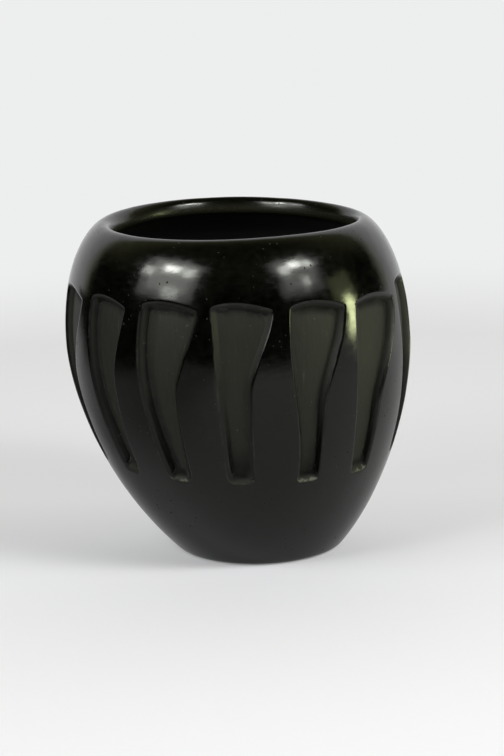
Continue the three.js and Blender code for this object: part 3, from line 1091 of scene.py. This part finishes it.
def studio_paper(studio):
    """Matt white paper: it takes the jar's soft shadow near by, glows partway just behind the jar as painted
    light that lifts that shadow, and runs out into an even backdrop.
    """
    material = bpy.data.materials.new("studio_paper_matt")
    add = new_tree(material)
    place = add("TexCoord", out="Object")
    east = add("SeparateXYZ", (place,), "X")
    north = east.node.outputs["Y"]
    away = add("VectorMath", (place,), "Value", operation="LENGTH")
    fibre = add("TexNoise", {"Vector": place, "Scale": per_metre(3 * MM), "Detail": 2.0})
    tone = add("Mix", {0: fibre, 6: rgba(studio.paper, 0.985), 7: rgba(studio.paper)}, **COLOURS)
    paper = add("BsdfDiffuse", (tone,))
    sweep = add("Emission", (rgba(studio.backdrop), 1.0))
    far = add("MapRange", (away, 0.15, 0.6), **SMOOTH_STEP)
    # Just behind the jar the paper glows at up to 0.55, a painted light over the jar's shadow there
    back = add("MapRange", (north, -0.09, 0.07, 0.0, 0.55))
    glow = add("Math", (far, back), operation="MAXIMUM")
    seen = add("MixShader", (glow, paper, sweep))

    # The table that the jar mirrors is dimmer at the left, and ends there and in front in a dark room
    dark = add("Emission", ((0, 0, 0, 1), 0.0))
    front = add("MapRange", (north, -0.54, -0.48))
    rear = add("MapRange", (north, 0.03, 0.22))
    corner = add("MapRange", (east, -0.45, -0.25))
    slanted = add("Math", (east, north), operation="ADD")
    end = add("MapRange", (slanted, -0.34, -0.06), **SMOOTH_STEP)
    corner = add("Mix", {0: rear, 2: corner, 3: end})
    side = add("MapRange", (east, -0.16, -0.02, 0.33, 0.68), **SMOOTH_STEP)
    level = add("Mix", {0: rear, 2: side, 3: 1.0})
    table = add("Math", (front, corner), operation="MULTIPLY")
    table = add("Math", (table, level), operation="MULTIPLY")
    mirrored = add("MixShader", (table, dark, seen))
    glossy = add("LightPath", out="Is Glossy Ray")
    whole = add("MixShader", (glossy, seen, mirrored))
    add("OutputMaterial", {"Surface": whole})
    return material


def room_light(studio):
    """The room: a pale backdrop behind the jar, a dim ceiling over it and darkness behind the camera."""
    world = bpy.data.worlds.new("studio_room")
    add = new_tree(world)
    north = add("SeparateXYZ", (add("TexCoord", out="Generated"),), "Y")
    up = north.node.outputs["Z"]
    behind = add("MapRange", (north, 0.47, 0.68, 0.004), **SMOOTH_STEP)
    high = add("MapRange", (up, 0.25, 0.65, 0.0, 0.3), **SMOOTH_STEP)
    back = add("MapRange", (north, -0.15, 0.6, 0.2), **SMOOTH_STEP)
    ceiling = add("Math", (high, back), operation="MULTIPLY")
    tone = add("Mix", {0: behind, 6: rgba(studio.ceiling), 7: rgba(studio.backdrop)}, **COLOURS)
    level = add("Math", (behind, ceiling), operation="MAXIMUM")
    room = add("Background", (tone, level))
    white = add("Background", (rgba(studio.backdrop), 1.0))
    seen = add("LightPath", out="Is Camera Ray")
    whole = add("MixShader", (seen, room, white))
    add("OutputWorld", {"Surface": whole})
    return world


def photo_camera():
    """A camera at the photograph's viewing angle, for an upright image."""
    place = CAMERA_PIVOT + heading(0, CAMERA_ELEVATION) * CAMERA_DISTANCE
    bpy.ops.object.camera_add(location=place)
    camera = bpy.context.object
    camera.name = "photo_camera"
    look = (CAMERA_AIM - place).to_track_quat("-Z", "Y")
    roll = Quaternion((0, 0, 1), math.radians(CAMERA_ROLL))
    camera.rotation_euler = (look @ roll).to_euler()
    camera.data.sensor_fit = "AUTO"
    camera.data.sensor_width = SENSOR_WIDTH
    camera.data.lens = SENSOR_WIDTH * FOCAL_PIXELS / max(IMAGE_SIZE)
    camera.data.clip_start = 0.01
    camera.data.clip_end = 50
    bpy.context.scene.camera = camera


def part_named(name, joint_below, joint_above):
    """Parts one course from the body and gives it its place in the frame."""
    body = bpy.data.objects.get(BODY)
    if body is None:
        raise RuntimeError("raise the body before its courses are parted")
    piece = part_course(body, name, joint_below, joint_above)
    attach(piece, "root")
    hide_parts(name)


class JAR_OT_body(bpy.types.Operator):
    """Raise the wall, carve the feather panels and settle the jar as one body of clay"""

    bl_idname = "jar.body"
    bl_label = "Raise and carve the body"

    def execute(self, context):
        scene = context.scene
        body = raise_body(scene.jar_form, scene.jar_carving)
        remember_normals(body.data)
        body.data.materials.append(smudge_fired_blackware(scene.jar_finish))
        return {"FINISHED"}


class JAR_OT_base(bpy.types.Operator):
    """Part the pressed base from the body"""

    bl_idname = "jar.base"
    bl_label = "Part the pressed base"

    def execute(self, context):
        part_named(BASE, None, 0)
        return {"FINISHED"}


class JAR_OT_coils(bpy.types.Operator):
    """Part the wall coils from the body, from the lowest up"""

    bl_idname = "jar.coils"
    bl_label = "Part the wall coils"

    def execute(self, context):
        for index, name in enumerate(COILS):
            part_named(name, index, index + 1)
        return {"FINISHED"}


class JAR_OT_rim(bpy.types.Operator):
    """Finish what is left of the body as the rim coil"""

    bl_idname = "jar.rim"
    bl_label = "Finish the rim coil"

    def execute(self, context):
        part_named(RIM, len(COILS), None)
        return {"FINISHED"}


class JAR_OT_stage(bpy.types.Operator):
    """Set the jar on a pale floor, light it softly and place the camera"""

    bl_idname = "jar.stage"
    bl_label = "Set the stage"

    def execute(self, context):
        studio = context.scene.jar_studio
        bpy.ops.object.select_all(action="DESELECT")
        bpy.ops.mesh.primitive_plane_add(size=FLOOR_SIZE, location=(0, 0, 0))
        floor = context.object
        floor.name = "studio_floor"
        floor.data.materials.append(studio_paper(studio))
        for name, share, source, azimuth, elevation, distance, wide, high, unseen_by in LAMPS:
            radiance = share * getattr(studio, source)
            colour = studio.window if source == "strip" else WHITE
            lamp = softbox(name, azimuth, elevation, distance, wide, high, radiance, colour)
            if unseen_by is not None:
                setattr(lamp, unseen_by, False)
        context.scene.world = room_light(studio)
        context.scene.view_settings.view_transform = "Standard"
        photo_camera()
        return {"FINISHED"}


class JAR_PT_sidebar(bpy.types.Panel):
    """Lists the jar's sizes, colours and steps"""

    bl_idname = "JAR_PT_sidebar"
    bl_label = "Carved blackware jar"
    bl_space_type = "VIEW_3D"
    bl_region_type = "UI"
    bl_category = "Jar"

    def draw(self, context):
        layout = self.layout
        for operator in OPERATORS:
            layout.operator(operator.bl_idname)
        for name, group in GROUPS.items():
            box = layout.box()
            box.label(text=group.__doc__)
            for setting in group.__annotations__:
                box.prop(getattr(context.scene, name), setting)


GROUPS = {"jar_form": JarForm, "jar_carving": JarCarving, "jar_finish": JarFinish, "jar_studio": JarStudio}
OPERATORS = (JAR_OT_body, JAR_OT_base, JAR_OT_coils, JAR_OT_rim, JAR_OT_stage)


def register():
    for name, group in GROUPS.items():
        bpy.utils.register_class(group)
        setattr(bpy.types.Scene, name, bpy.props.PointerProperty(type=group))
    for made in (*OPERATORS, JAR_PT_sidebar):
        bpy.utils.register_class(made)


def unregister():
    for made in (JAR_PT_sidebar, *reversed(OPERATORS)):
        bpy.utils.unregister_class(made)
    for name, group in GROUPS.items():
        delattr(bpy.types.Scene, name)
        bpy.utils.unregister_class(group)


def main():
    """Registers the add-on and models the jar and its stage."""
    register()
    bpy.ops.jar.body()
    bpy.ops.jar.base()
    bpy.ops.jar.coils()
    bpy.ops.jar.rim()
    bpy.ops.jar.stage()


if __name__ == "__main__":
    main()
